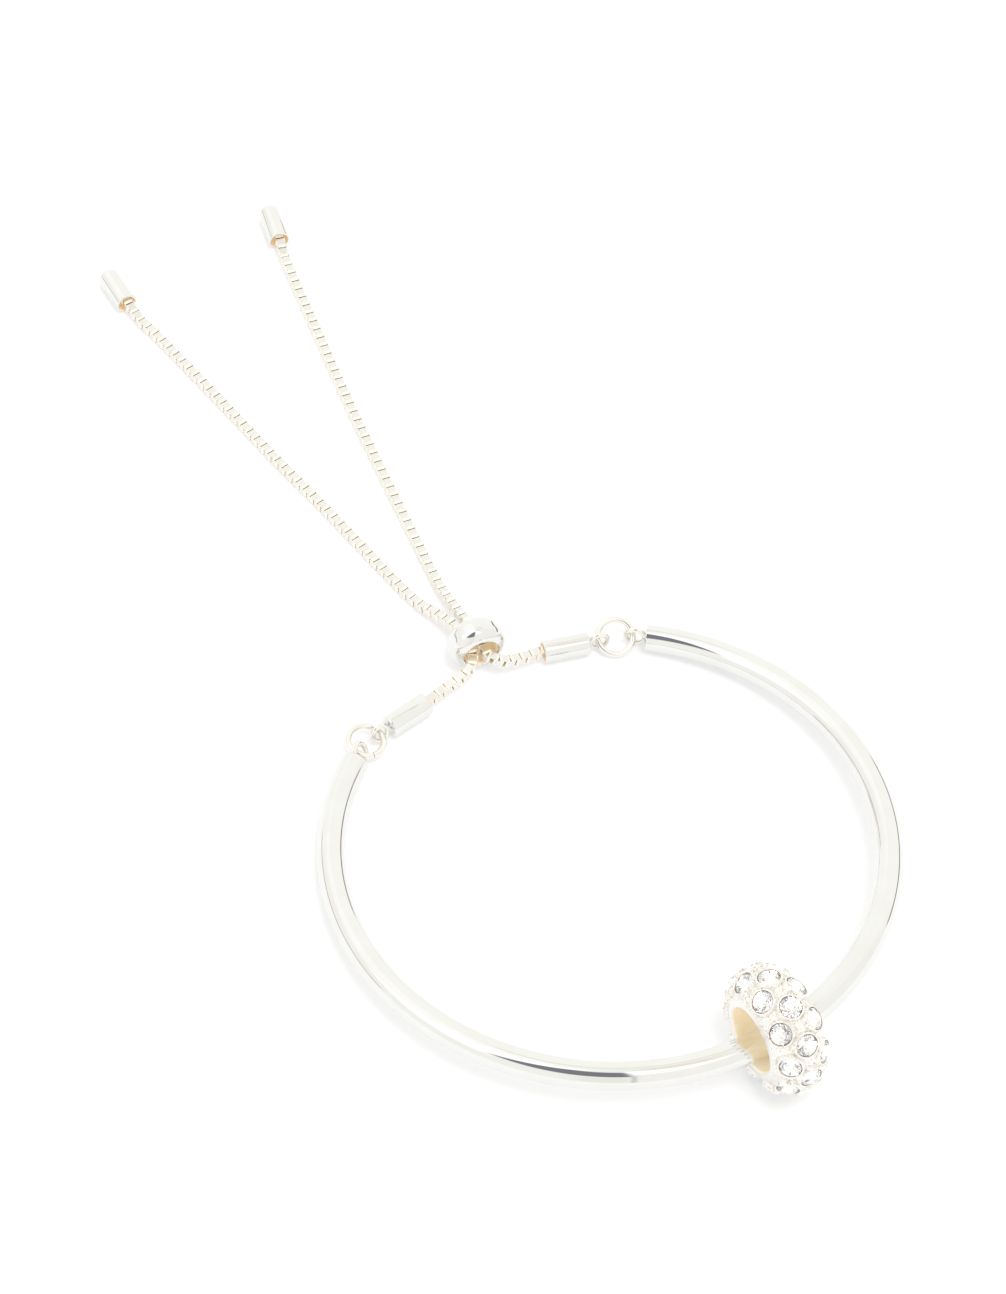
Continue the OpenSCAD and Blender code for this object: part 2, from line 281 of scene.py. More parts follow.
def new_shape_tree(name, sizes, takes_mesh=False):
    """A Geometry Nodes tree with named inputs. Gives the tree and its input sockets."""
    tree = bpy.data.node_groups.new(name, "GeometryNodeTree")
    tree.interface.new_socket("Geometry", in_out="OUTPUT", socket_type="NodeSocketGeometry")
    if takes_mesh:
        tree.interface.new_socket("Geometry", in_out="INPUT", socket_type="NodeSocketGeometry")
    for label, size in sizes.items():
        kind = "NodeSocketInt" if isinstance(size, int) else "NodeSocketFloat"
        tree.interface.new_socket(label, in_out="INPUT", socket_type=kind).default_value = size
    return tree, tree.nodes.new("NodeGroupInput").outputs


def end_tree(tree, geometry, *finishes):
    """Realizes the shape and gives it its finishes, each on all faces or on those of a
    selection socket."""
    solid = add_node(tree, "GeometryNodeRealizeInstances", {"Geometry": geometry}).outputs[0]
    for finish, selection in finishes:
        values = {"Geometry": solid, "Material": finish}
        if selection is not None:
            values["Selection"] = selection
        solid = add_node(tree, "GeometryNodeSetMaterial", values).outputs[0]
    add_node(tree, "NodeGroupOutput", {"Geometry": solid})


def own_finishes(tree, shape):
    """Each finish of a shape with a selection of the faces that it is on, for end_tree."""
    number = add_node(tree, "GeometryNodeInputMaterialIndex").outputs[0]
    finishes = shape.data.materials
    return [(finish, calc(tree, "COMPARE", number, float(n))) for n, finish in enumerate(finishes)]


def turned_about(tree, axis, angle, before=None):
    """A rotation by an angle socket about an axis, after another one in its own frame."""
    rotation = add_node(tree, "FunctionNodeAxisAngleToRotation", {"Axis": axis, "Angle": angle}).outputs[0]
    if before is None:
        return rotation
    return add_node(tree, "FunctionNodeRotateRotation", {"Rotation": before, "Rotate By": rotation},
                    rotation_space="LOCAL").outputs[0]


def grow(tree, name, sizes, place, base=None, sharp=None):
    """Runs a tree once and keeps its result as a plain mesh at its place.
    The keys of sizes are the names of the tree's inputs."""
    holder = bpy.data.objects.new(name, base or bpy.data.meshes.new(name))
    bpy.context.scene.collection.objects.link(holder)
    modifier = holder.modifiers.new("shape", "NODES")
    modifier.node_group = tree
    for item in tree.interface.items_tree:
        if item.in_out == "INPUT" and item.name in sizes:
            modifier[item.identifier] = sizes[item.name]
    bpy.context.view_layer.update()
    mesh = bpy.data.meshes.new_from_object(holder.evaluated_get(bpy.context.evaluated_depsgraph_get()))
    holder.modifiers.clear()
    holder.data = mesh
    mesh.name = name
    mesh.transform(place)
    soften(mesh, sharp)
    return holder


def soften(mesh, sharp):
    """Smooth shading, with a hard edge where faces meet at more than sharp degrees."""
    mesh.shade_smooth()
    if sharp is not None:
        mesh.set_sharp_from_angle(angle=math.radians(sharp))


def new_piece(name, mesh, finish, place, sharp=None):
    piece = bpy.data.objects.new(name, mesh)
    bpy.context.scene.collection.objects.link(piece)
    mesh.transform(place)
    mesh.materials.append(finish)
    soften(mesh, sharp)
    return piece


def join(name, pieces):
    """One piece made of several, all at the origin."""
    bm = bmesh.new()
    finishes = []
    for piece in pieces:
        start = len(bm.faces)
        bm.from_mesh(piece.data)
        bm.faces.ensure_lookup_table()
        slots = []
        for finish in piece.data.materials:
            if finish not in finishes:
                finishes.append(finish)
            slots.append(finishes.index(finish))
        for face in bm.faces[start:]:
            face.material_index = slots[face.material_index]
    mesh = bpy.data.meshes.new(name)
    bm.to_mesh(mesh)
    bm.free()
    for finish in finishes:
        mesh.materials.append(finish)
    for piece in pieces:
        bpy.data.objects.remove(piece)
    piece = bpy.data.objects.new(name, mesh)
    bpy.context.scene.collection.objects.link(piece)
    return piece


def dress(piece, body, slot, *nodes):
    """Puts a finished piece on its body in place of its CAD nodes."""
    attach(piece, body)
    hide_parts(*nodes)


# Camera, floor and light

def set_camera():
    elevation = math.radians(CAMERA_ELEVATION)
    back = Vector((0, -math.cos(elevation), math.sin(elevation)))
    camera = bpy.data.objects.new("camera", bpy.data.cameras.new("camera"))
    bpy.context.scene.collection.objects.link(camera)
    camera.data.sensor_fit = "VERTICAL"
    camera.data.sensor_height = SENSOR_HEIGHT
    camera.data.lens = CAMERA_LENS
    camera.data.clip_start = 0.01
    camera.data.clip_end = 20
    upright = turn("X", 90 - CAMERA_ELEVATION)
    place = Matrix.Translation(CAMERA_TARGET + CAMERA_DISTANCE * back)
    camera.matrix_world = place @ upright @ turn("Z", CAMERA_ROLL)
    bpy.context.scene.camera = camera


def set_floor():
    half = FLOOR_HALF
    mesh = bpy.data.meshes.new("floor")
    corners = [(-half, -half, 0), (half, -half, 0), (half, half, 0), (-half, half, 0)]
    mesh.from_pydata(corners, [], [(0, 1, 2, 3)])
    floor = bpy.data.objects.new("floor", mesh)
    bpy.context.scene.collection.objects.link(floor)
    mesh.materials.append(floor_paint())


def floor_paint():
    """A pale sheet with the faintest unevenness, which glows a little."""
    finish, tree, shader = new_finish("white_floor")
    tone = ramp(tree, noise(tree, 40.0), (0.0, (0.495, 0.496, 0.502, 1)), (1.0, (0.505, 0.506, 0.512, 1)))
    feed(tree, shader.inputs["Base Color"], tone)
    shader.inputs["Roughness"].default_value = 0.9
    shader.inputs["Specular IOR Level"].default_value = 0.0
    shader.inputs["Emission Color"].default_value = (1, 1, 1, 1)
    shader.inputs["Emission Strength"].default_value = FLOOR_GLOW
    return finish


def sky_patch(tree, ray, azimuth, half_width, low, high, soft):
    """1 in a patch of the sky between two elevations, 0 outside, in degrees. soft is how
    far its edge spreads."""
    middle = math.radians(azimuth)
    ahead = dot(tree, ray, (math.cos(middle), math.sin(middle), 0))
    aside = dot(tree, ray, (-math.sin(middle), math.cos(middle), 0))
    turned_off = calc(tree, "DEGREES", calc(tree, "ABSOLUTE", calc(tree, "ARCTAN2", aside, ahead)))
    height = calc(tree, "DEGREES", calc(tree, "ARCSINE", dot(tree, ray, (0, 0, 1))))
    over = calc(tree, "SUBTRACT", calc(tree, "ABSOLUTE", calc(tree, "SUBTRACT", height, (low + high) / 2)),
                (high - low) / 2)
    outside = calc(tree, "MAXIMUM", calc(tree, "SUBTRACT", turned_off, half_width), over)
    fall = add_node(tree, "ShaderNodeMapRange", {
        "Value": outside, "From Min": -soft / 2, "From Max": soft / 2,
        "To Min": 1.0, "To Max": 0.0}, interpolation_type="SMOOTHSTEP")
    return fall.outputs[0]


def mix_colour(tree, amount, first, second):
    """Output of a Mix node, whose colours are its inputs 6 and 7 and its output 2."""
    node = add_node(tree, "ShaderNodeMix", {"Factor": amount}, data_type="RGBA")
    feed(tree, node.inputs[6], first)
    feed(tree, node.inputs[7], second)
    return node.outputs[2]


# The studio round the bangle, each patch over the ones before it: azimuth of its middle and
# half its width, its lowest and highest elevation and the spread of its edge in degrees,
# then its colour as the silver shows it.
STUDIO_WALLS = (0.875, 0.868, 0.825)
STUDIO = [
    ("front wall", -110, 55, -5, 40, 12, (0.875, 0.868, 0.835)),
    ("right wall", 85, 60, -5, 60, 20, (0.922, 0.922, 0.882)),
    ("white hanging on the left", 168, 56, 38, 91, 22, (0.975, 0.97, 0.945)),
    ("left lamp", -160, 24, 34, 88, 8, (1.1, 1.1, 1.09)),
    ("right lamp", -53, 26, 58, 88, 7, (1.1, 1.1, 1.1)),
    ("olive ledge", 75, 34, 61.5, 64.5, 1, (0.7, 0.68, 0.54)),
    ("warm ceiling", 35, 45, 75, 85, 5, (0.81, 0.75, 0.65)),
    ("place overhead", 0, 181, 86, 91, 2, (0.8, 0.93, 0.94)),
    ("front gap", -90, 9, 3, 38, 5, (0.82, 0.81, 0.77)),
    ("camera and its stand", -108, 28, 46, 81, 6, (0.19, 0.19, 0.22)),
    ("stand's leg", -79.5, 1, -2, 47, 1, (0.6, 0.6, 0.58)),
    ("right edge of the table", 39, 20, -2, 7, 3, (0.2, 0.17, 0.15)),
    ("left edge of the table", 168, 25, 4.5, 7.5, 2.5, (0.3, 0.24, 0.2)),
]

# The share of the light that the silver gives back: the sky is that much brighter than the
# colours above. The stones give light back after this many reflections in their foils.
SILVER_SHINE = 0.8
STONE_REFLECTIONS = 16

# Half the floor's side, and how much it glows
FLOOR_HALF = 3.0
FLOOR_GLOW = 0.48

# The lamp behind the soft shadows: its strength, its width, and its azimuth and tilt
LAMP_ENERGY = 1.1
LAMP_WIDTH = 24
LAMP_AZIMUTH = -45
LAMP_TILT = 16


def set_light():
    """A white studio as directions of the sky, and one soft lamp for the shadows."""
    world = bpy.data.worlds.new("studio")
    bpy.context.scene.world = world
    world.use_nodes = True
    tree = world.node_tree
    tree.nodes.clear()
    ray = calc_vector(tree, "NORMALIZE", add_node(tree, "ShaderNodeTexCoord").outputs["Generated"])
    sky = STUDIO_WALLS + (1,)
    for name, azimuth, half_width, low, high, soft, colour in STUDIO:
        sky = mix_colour(tree, sky_patch(tree, ray, azimuth, half_width, low, high, soft), sky, colour + (1,))
    background = add_node(tree, "ShaderNodeBackground", {"Color": sky, "Strength": 1 / SILVER_SHINE})
    add_node(tree, "ShaderNodeOutputWorld", {"Surface": background.outputs[0]})
    lamp = bpy.data.lights.new("shadow_lamp", "SUN")
    lamp.energy = LAMP_ENERGY
    lamp.angle = math.radians(LAMP_WIDTH)
    holder = bpy.data.objects.new("shadow_lamp", lamp)
    bpy.context.scene.collection.objects.link(holder)
    holder.rotation_euler = (turn("Z", LAMP_AZIMUTH) @ turn("Y", LAMP_TILT)).to_euler()
    holder.visible_glossy = False
    bpy.context.scene.cycles.glossy_bounces = STONE_REFLECTIONS
    bpy.context.scene.view_settings.view_transform = "Standard"
    bpy.context.scene.view_settings.look = "None"


# Finishes

def new_finish(name):
    finish = bpy.data.materials.new(name)
    finish.use_nodes = True
    tree = finish.node_tree
    return finish, tree, tree.nodes["Principled BSDF"]


def object_place(tree):
    return add_node(tree, "ShaderNodeTexCoord").outputs["Object"]


def ramp(tree, amount, *stops):
    """A colour ramp with the given (place, colour) stops."""
    node = add_node(tree, "ShaderNodeValToRGB", {"Fac": amount})
    elements = node.color_ramp.elements
    for n, (place, colour) in enumerate(stops):
        element = elements[n] if n < 2 else elements.new(place)
        element.position = place
        element.color = colour
    return node.outputs["Color"]


def noise(tree, scale, detail=3.0, roughness=0.5):
    """Noise in the object's own coordinates, with scale in patches a metre."""
    values = {"Vector": object_place(tree), "Scale": scale, "Detail": detail, "Roughness": roughness}
    return add_node(tree, "ShaderNodeTexNoise", values).outputs["Fac"]


def between(tree, amount, low, high):
    """Turns 0 to 1 into low to high."""
    return add_node(tree, "ShaderNodeMapRange", {"Value": amount, "To Min": low, "To Max": high}).outputs[0]


def bump(tree, height, distance, strength=1.0):
    values = {"Height": height, "Distance": distance, "Strength": strength}
    return add_node(tree, "ShaderNodeBump", values).outputs[0]


def plated_silver(name, light=(0.815, 0.815, 0.805, 1), shade=(0.79, 0.787, 0.77, 1), dull=(0.03, 0.08),
                  ripple=0.0004):
    """Bright silver plate: a faint yellow cast in patches, fine polishing haze and a slight
    ripple in its mirror."""
    finish, tree, shader = new_finish(name)
    cast = noise(tree, 350.0, 3.0)
    haze = noise(tree, 2600.0, 4.0, 0.65)
    feed(tree, shader.inputs["Base Color"], ramp(tree, cast, (0.3, shade), (0.7, light)))
    shader.inputs["Metallic"].default_value = 1.0
    feed(tree, shader.inputs["Roughness"], between(tree, haze, dull[0], dull[1]))
    feed(tree, shader.inputs["Normal"], bump(tree, noise(tree, 700.0, 2.0), ripple * MM))
    return finish


def pale_gold(name, light, shade, glow=0.0, patch_scale=900.0):
    """Brass, thinly plated, in holes and between links, matt and pale gold. The glow is painted light: it
    stands for the light that the photograph's studio throws into them."""
    finish, tree, shader = new_finish(name)
    patches = noise(tree, patch_scale, 4.0, 0.6)
    feed(tree, shader.inputs["Base Color"], ramp(tree, patches, (0.3, shade), (0.65, light)))
    shader.inputs["Metallic"].default_value = 0.25
    shader.inputs["Emission Color"].default_value = (1.0, 0.86, 0.63, 1)
    shader.inputs["Emission Strength"].default_value = glow
    feed(tree, shader.inputs["Roughness"], between(tree, noise(tree, 4000.0), 0.35, 0.55))
    feed(tree, shader.inputs["Normal"], bump(tree, noise(tree, 5000.0), 0.01 * MM))
    return finish


def cast_silver(name):
    """Cast and tumbled silver between the stones: soft lumps, pits and gold in the hollows."""
    finish, tree, shader = new_finish(name)
    grains = noise(tree, 5200.0, 3.0, 0.6)
    lumps = noise(tree, 1700.0, 2.0)
    gold = ramp(tree, grains, (0.36, (0.65, 0.51, 0.35, 1)), (0.44, (0.89, 0.885, 0.86, 1)))
    feed(tree, shader.inputs["Base Color"], gold)
    shader.inputs["Metallic"].default_value = 0.8
    feed(tree, shader.inputs["Roughness"], between(tree, grains, 0.32, 0.14))
    height = calc(tree, "ADD", calc(tree, "MULTIPLY", lumps, 2.0), grains)
    feed(tree, shader.inputs["Normal"], bump(tree, height, 0.045 * MM))
    return finish


def clear_crystal(name):
    """Clear lead crystal. Its clouding is too faint to see except close by."""
    finish, tree, shader = new_finish(name)
    shader.inputs["Base Color"].default_value = (1, 1, 1, 1)
    shader.inputs["Transmission Weight"].default_value = 1.0
    shader.inputs["IOR"].default_value = 1.52
    feed(tree, shader.inputs["Roughness"], between(tree, noise(tree, 1500.0), 0.0, 0.012))
    return finish


def stone_foil(name):
    """The mirror foil under a stone, with a faint cool cast that changes from facet to facet."""
    finish, tree, shader = new_finish(name)
    cast = noise(tree, 1300.0, 1.0)
    cool = ramp(tree, cast, (0.35, (0.92, 0.935, 0.96, 1)), (0.6, (0.965, 0.96, 0.95, 1)))
    feed(tree, shader.inputs["Base Color"], cool)
    shader.inputs["Metallic"].default_value = 1.0
    shader.inputs["Roughness"].default_value = 0.02
    return finish


# Shapes

def arc_points(centre, radius, start, end, steps):
    """Points of an arc, angles in degrees."""
    points = []
    for step in range(steps + 1):
        angle = math.radians(start + (end - start) * step / steps)
        points.append((centre[0] + radius * math.cos(angle), centre[1] + radius * math.sin(angle)))
    return points


def turned(name, outline, sides, closed=False):
    """A lathe turned mesh round the X axis. Each outline point is (along X, radius)."""
    bm = bmesh.new()
    rings = []
    for x, radius in outline:
        if radius == 0:
            rings.append([bm.verts.new((x, 0, 0))])
            continue
        ring = []
        for side in range(sides):
            angle = 2 * math.pi * side / sides
            ring.append(bm.verts.new((x, radius * math.cos(angle), radius * math.sin(angle))))
        rings.append(ring)
    pairs = list(zip(rings, rings[1:]))
    if closed:
        pairs.append((rings[-1], rings[0]))
    for first, second in pairs:
        for side in range(sides):
            after = (side + 1) % sides
            if len(first) == 1:
                bm.faces.new((first[0], second[side], second[after]))
            elif len(second) == 1:
                bm.faces.new((first[side], second[0], first[after]))
            else:
                bm.faces.new((first[side], second[side], second[after], first[after]))
    bmesh.ops.recalc_face_normals(bm, faces=bm.faces)
    mesh = bpy.data.meshes.new(name)
    bm.to_mesh(mesh)
    bm.free()
    return mesh


def bent_tube_tree(finish):
    """A round tube bent along an arc round Z, from one side of a gap at +X to the other,
    with bevelled flat ends."""
    sizes = {"Ring radius": RING_R, "Tube radius": TUBE_R, "Half gap": math.radians(GAP_HALF),
             "Bevel": END_BEVEL, "Rings": 360, "Sides": 72}
    tree, given = new_shape_tree("bent tube", sizes)
    last = calc(tree, "SUBTRACT", given["Rings"], 1.0)
    bevel_turn = calc(tree, "DIVIDE", given["Bevel"], given["Ring radius"])
    far_end = calc(tree, "SUBTRACT", 2 * math.pi, given["Half gap"])
    place = add_node(tree, "GeometryNodeInputIndex").outputs[0]
    at_start = calc(tree, "LESS_THAN", place, 0.5)
    at_end = calc(tree, "GREATER_THAN", place, calc(tree, "SUBTRACT", last, 0.5))
    along = add_node(tree, "ShaderNodeMapRange", {
        "Value": place, "From Min": 1.0, "From Max": calc(tree, "SUBTRACT", last, 1.0),
        "To Min": calc(tree, "ADD", given["Half gap"], bevel_turn),
        "To Max": calc(tree, "SUBTRACT", far_end, bevel_turn)}).outputs[0]
    past_bevel = calc(tree, "MULTIPLY", bevel_turn, calc(tree, "SUBTRACT", at_end, at_start))
    angle = calc(tree, "ADD", along, past_bevel)
    x = calc(tree, "MULTIPLY", given["Ring radius"], calc(tree, "COSINE", angle))
    y = calc(tree, "MULTIPLY", given["Ring radius"], calc(tree, "SINE", angle))
    line = add_node(tree, "GeometryNodeMeshLine", {"Count": given["Rings"]}).outputs[0]
    bent = add_node(tree, "GeometryNodeSetPosition", {"Geometry": line, "Position": vector(tree, x, y)})
    curve = add_node(tree, "GeometryNodeMeshToCurve", {"Mesh": bent.outputs[0]}).outputs[0]
    level = add_node(tree, "GeometryNodeSetCurveNormal", {"Curve": curve}, mode="Z_UP").outputs[0]
    narrowing = calc(tree, "MULTIPLY", calc(tree, "ADD", at_start, at_end),
                     calc(tree, "DIVIDE", given["Bevel"], given["Tube radius"]))
    circle = add_node(tree, "GeometryNodeCurvePrimitiveCircle",
                      {"Resolution": given["Sides"], "Radius": given["Tube radius"]}).outputs[0]
    skin = add_node(tree, "GeometryNodeCurveToMesh", {
        "Curve": level, "Profile Curve": circle, "Scale": calc(tree, "SUBTRACT", 1.0, narrowing),
        "Fill Caps": True}).outputs[0]
    end_tree(tree, skin, (finish, None))
    return tree


def wire_ring_tree(finish):
    """A round wire bent into a ring round Z. Where the slit isn't 0, its cut ends stand that
    far apart at the slit's angle."""
    sizes = {"Mean radius": JUMP_MEAN, "Wire radius": JUMP_WIRE / 2, "Slit": 0.0, "Slit angle": 0.0,
             "Rings": 120, "Sides": 32}
    tree, given = new_shape_tree("wire ring", sizes)
    slit_turn = calc(tree, "DIVIDE", given["Slit"], given["Mean radius"])
    arc = add_node(tree, "GeometryNodeCurveArc", {
        "Resolution": given["Rings"], "Radius": given["Mean radius"],
        "Start Angle": calc(tree, "ADD", given["Slit angle"], calc(tree, "MULTIPLY", slit_turn, 0.5)),
        "Sweep Angle": calc(tree, "SUBTRACT", 2 * math.pi, slit_turn)}).outputs[0]
    level = add_node(tree, "GeometryNodeSetCurveNormal", {"Curve": arc}, mode="Z_UP").outputs[0]
    circle = add_node(tree, "GeometryNodeCurvePrimitiveCircle",
                      {"Resolution": given["Sides"], "Radius": given["Wire radius"]}).outputs[0]
    skin = add_node(tree, "GeometryNodeCurveToMesh", {
        "Curve": level, "Profile Curve": circle,
        "Fill Caps": calc(tree, "GREATER_THAN", given["Slit"], 0.0)}).outputs[0]
    merged = add_node(tree, "GeometryNodeMergeByDistance", {"Geometry": skin, "Distance": 0.001 * MM})
    end_tree(tree, merged.outputs[0], (finish, None))
    return tree


def loop_with_neck(rings, name, mean_radius, wire, reach, roll, finish, place):
    """A small ring soldered by a short neck on a flat end at x = 0."""
    ring_sizes = {"Mean radius": mean_radius, "Wire radius": wire / 2}
    ring = grow(rings, name + "_ring", ring_sizes, place @ shift(reach) @ turn("X", roll))
    neck_r = NECK_SHARE * wire
    flare_r = neck_r * NECK_FLARE
    reach_in = reach - mean_radius + NECK_LAP
    flare = arc_points((flare_r, neck_r * (NECK_WAIST + NECK_FLARE)), flare_r, -90, -180, 5)
    outline = [(-NECK_SINK, 0), (-NECK_SINK, neck_r), (0, neck_r * NECK_FOOT)]
    outline += [(x, max(neck_r * NECK_WAIST, r)) for x, r in reversed(flare) if x > 0]
    outline += [(reach_in, neck_r), (reach_in, 0)]
    neck = new_piece(name + "_neck", turned(name + "_neck", outline, NECK_SIDES), finish, place, sharp=50)
    return [ring, neck]


def make_bangle(finish, rings):
    pieces = [grow(bent_tube_tree(finish), "tube_bow", {}, on_ring(), sharp=30)]
    for side in (LEFT, RIGHT):
        pieces += loop_with_neck(rings, "eye", EYE_MEAN, EYE_WIRE, EYE_REACH, EYE_ROLL[side],
                                 finish, on_tube_end(side))
    dress(join("tube_with_eyes", pieces), "bangle", "silver", "bangle")


def make_jump_rings(rings):
    for side, name in ((LEFT, "left"), (RIGHT, "right")):
        sizes = {"Slit": JOINT_SLIT, "Slit angle": math.radians(SLIT_ANGLE[side])}
        ring = grow(rings, "joining_ring_" + name, sizes, on_jump_ring(side), sharp=40)
        dress(ring, "bangle", "silver", "jump_ring_" + name)


def sleeve_outline(outer_r, length, bore_depth, round_r):
    """Half section of a tube closed at its far end, as (along the tube, radius)."""
    inner_r = outer_r - END_WALL
    lip = END_WALL / 2
    mouth = arc_points((lip, inner_r + lip), lip, -90, -270, 10)
    shoulder = arc_points((length - round_r, outer_r - round_r), round_r, 90, 0, 10)
    return [(bore_depth, 0), (bore_depth, inner_r)] + mouth + shoulder + [(length, 0)]


def sleeve(name, outline, outer_r, plate, gold, place):
    """A plated sleeve with a pale gold bore."""
    piece = new_piece(name, turned(name, outline, SLEEVE_SIDES), plate, place, sharp=40)
    gild_hole(piece, gold, place, outer_r - SILVER_LIP, GOLD_DEPTH)
    return piece


def gild_hole(piece, gold, place, radius, depth):
    """Gives the faces within a radius of the piece's own X axis, up to a depth, the gold of its
    hole."""
    piece.data.materials.append(gold)
    inward = place.inverted()
    for polygon in piece.data.polygons:
        centre = inward @ polygon.center
        if math.hypot(centre.y, centre.z) < radius and centre.x < depth:
            polygon.material_index = 1


def make_chain_ends(plate, gold, rings):
    for side, name in ((LEFT, "left"), (RIGHT, "right")):
        place = on_chain_end(side)
        outline = sleeve_outline(CHAIN_END_R, CHAIN_END_LENGTH, CHAIN_END_BORE, CHAIN_END_ROUND)
        body = sleeve("sleeve", outline, CHAIN_END_R, plate, gold, place)
        loop = loop_with_neck(rings, "loop", LOOP_MEAN, LOOP_WIRE, LOOP_REACH, LOOP_ROLL[side],
                              plate, place @ shift(CHAIN_END_LENGTH))
        piece = join("chain_sleeve_" + name, [body] + loop)
        dress(piece, "bangle", "silver", "chain_end_" + name)


def make_end_caps(plate, gold):
    for side, name in ((LEFT, "left"), (RIGHT, "right")):
        place = Matrix.Translation(CAP_MOUTH[side]) @ turn("Z", CAP_AZIMUTH[side])
        outline = sleeve_outline(CAP_R, CAP_LENGTH, CAP_BORE, CAP_ROUND)
        piece = sleeve("tail_cap_" + name, outline, CAP_R, plate, gold, place)
        dress(piece, "bangle", "silver", "end_cap_" + name)


def hole_lips(hole_r, half, lip, edge_angle):
    """Section of a straight hole with a round lip at each mouth, as (along the hole, radius).
    Each lip begins edge_angle degrees in from its outermost point."""
    near = arc_points((lip - half, hole_r + lip), lip, 180 + edge_angle, 270, 8)
    return near + arc_points((half - lip, hole_r + lip), lip, 270, 360 - edge_angle, 8)


def make_slider(plate, gold):
    """A barrel with a nearly straight band between two round shoulders and a pale gold hole."""
    low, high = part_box("slider_bead")
    middle = (low + high) / 2
    place = Matrix.Translation(middle) @ turn("Z", SLIDER_AZIMUTH)
    band = SLIDER_HALF - SLIDER_SHOULDER
    turn_r = SLIDER_R - SLIDER_SHOULDER
    outline = arc_points((band, turn_r), SLIDER_SHOULDER, SLIDER_EDGE_ANGLE, 90, 30)
    outline += arc_points((-band, turn_r), SLIDER_SHOULDER, 90, 180 - SLIDER_EDGE_ANGLE, 30)
    outline += hole_lips(SLIDER_HOLE, SLIDER_HALF, SLIDER_LIP, SLIDER_LIP_ANGLE)
    barrel = turned("slider_barrel", outline, SLIDER_SIDES, closed=True)
    piece = new_piece("slider_barrel", barrel, plate, place, sharp=35)
    gild_hole(piece, gold, place, SLIDER_HOLE + SLIDER_HOLE_MARGIN, SLIDER_HALF)
    dress(piece, "bangle", "silver", "slider_bead")


# Chains

def square_link(plate, glowing_gilt):
    """One link: a flat strip bent into a square round Z, plated on its four flat sides, gold within and at
    its corners, where the plate is worn. The gold finish given to it glows faintly with painted light,
    standing for light between the links."""
    half = LINK_SIZE / 2
    top = LINK_WIDTH / 2
    section = [(0, -top + LINK_EDGE), (LINK_EDGE, -top), (LINK_THICKNESS, -top),
               (LINK_THICKNESS, top), (LINK_EDGE, top), (0, top - LINK_EDGE)]
    bm = bmesh.new()
    rings = []
    for quarter in range(4):
        for sign in (-1, 1):
            ring = []
            for depth, height in section:
                reach = half - depth
                side = half - LINK_CORNER - depth * CORNER_SLOPE
                corner = Vector((reach, sign * side, height))
                ring.append(bm.verts.new(turn("Z", 90 * quarter) @ corner))
            rings.append(ring)
    for n, ring in enumerate(rings):
        after = rings[(n + 1) % len(rings)]
        on_side = n % 2 == 0
        for k in range(len(section)):
            nxt = (k + 1) % len(section)
            face = bm.faces.new((ring[k], ring[nxt], after[nxt], after[k]))
            outside = k in (0, 4, 5)
            face.material_index = 0 if on_side and outside else 1
    bmesh.ops.recalc_face_normals(bm, faces=bm.faces)
    mesh = bpy.data.meshes.new("square_link")
    bm.to_mesh(mesh)
    bm.free()
    mesh.materials.append(plate)
    mesh.materials.append(glowing_gilt)
    return bpy.data.objects.new("square_link", mesh)


def chain_tree(link):
    """Links along a route, each turned a quarter round from the one before."""
    tree, given = new_shape_tree("box chain", {"Pitch": LINK_PITCH}, takes_mesh=True)
    curve = add_node(tree, "GeometryNodeMeshToCurve", {"Mesh": given["Geometry"]}).outputs[0]
    spaced = add_node(tree, "GeometryNodeResampleCurve", {"Curve": curve, "Length": given["Pitch"]},
                      mode="LENGTH").outputs[0]
    way = add_node(tree, "GeometryNodeInputTangent").outputs[0]
    turned_to = add_node(tree, "FunctionNodeAlignRotationToVector", {"Vector": way},
                         axis="X", pivot_axis="Z").outputs[0]
    tipped = add_node(tree, "FunctionNodeAlignRotationToVector",
                      {"Rotation": turned_to, "Vector": way}, axis="X", pivot_axis="Y").outputs[0]
    index = add_node(tree, "GeometryNodeInputIndex").outputs[0]
    quarter = calc(tree, "MULTIPLY", calc(tree, "MODULO", index, 2.0), math.pi / 2)
    rotation = turned_about(tree, (1, 0, 0), quarter, tipped)
    shape = add_node(tree, "GeometryNodeObjectInfo", {"Object": link}).outputs["Geometry"]
    links = add_node(tree, "GeometryNodeInstanceOnPoints",
                     {"Points": spaced, "Instance": shape, "Rotation": rotation}).outputs[0]
    end_tree(tree, links, *own_finishes(tree, link))
    return tree


def curve_point(a, b, c, d, t):
    """A point between b and c on the smooth curve through a, b, c and d."""
    square = (2 * a - 5 * b + 4 * c - d) * t ** 2
    cube = (3 * b - a - 3 * c + d) * t ** 3
    return 0.5 * (2 * b + (c - a) * t + square + cube)


def smooth_line(points):
    """A mesh line through the points of a route."""
    stops = [Vector(point) for point in points]
    last = len(stops) - 1
    line = []
    for n in range(last):
        around = (stops[max(n - 1, 0)], stops[n], stops[n + 1], stops[min(n + 2, last)])
        line += [curve_point(*around, step / ROUTE_STEPS) for step in range(ROUTE_STEPS)]
    line.append(stops[last])
    mesh = bpy.data.meshes.new("chain_line")
    mesh.from_pydata(line, [(n, n + 1) for n in range(len(line) - 1)], [])
    return mesh


def make_chains(plate, glowing_gilt):
    link = square_link(plate, glowing_gilt)
    tree = chain_tree(link)
    for side, name in ((LEFT, "left"), (RIGHT, "right")):
        line = smooth_line(ROUTE[side])
        chain = grow(tree, "box_chain_" + name, {}, Matrix.Identity(4), base=line, sharp=30)
        dress(chain, "bangle", "silver", "chain_" + name)
    bpy.data.objects.remove(link)


# Stone set bead

SEAT_SIZES = {"Seats in a row": STONES_IN_ROW, "Arc radius": SEAT_R, "Reach": SEAT_REACH,
              "Row tilt": math.radians(ROW_TILT), "Row turn": math.radians(ROW_TURN)}


